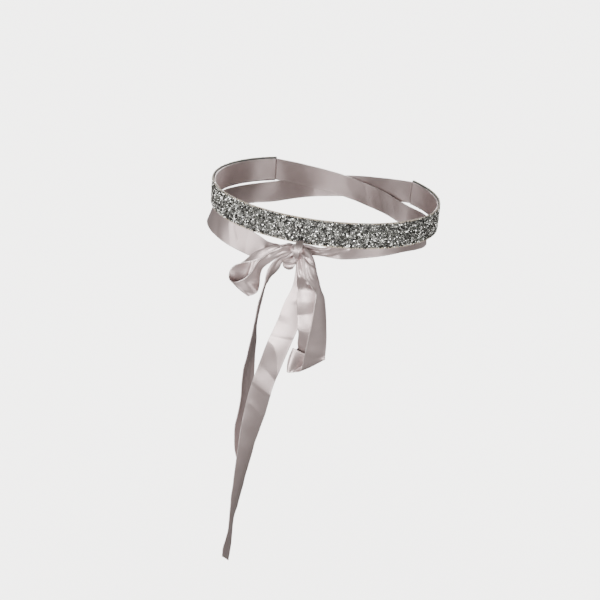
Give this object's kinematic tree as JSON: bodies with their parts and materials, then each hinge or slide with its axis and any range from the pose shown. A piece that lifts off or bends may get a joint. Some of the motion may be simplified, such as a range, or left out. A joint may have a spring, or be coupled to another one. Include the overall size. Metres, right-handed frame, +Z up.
{
  "type": "bridal sash",
  "caption": "Worn bridal sash: a narrow crystal-covered band on a satin ribbon that goes round the waist and ties in a small bow with long tails in front.",
  "frame": {"origin": "centre of the waist opening, level with the middle of the crystal band", "axes": "+Z up along the wearer, -Y towards the wearer's front where the bow is, +X towards the wearer's left"},
  "size_m": [0.2512, 0.224, 0.419],
  "materials": {
    "satin": "silver-grey polyester satin ribbon with a soft sheen and woven edges",
    "crystal": "small foil-backed faceted stones and beads packed closely on a woven backing, with a beige edge"
  },
  "bodies": {
    "root": {"crystal_band": "crystal", "ribbon_backing": "satin", "knot": "satin", "tie_right": "satin", "tie_left": "satin", "loop_right": "satin", "loop_left": "satin", "tail_front": "satin", "tail_back": "satin"}
  },
  "joints": []
}
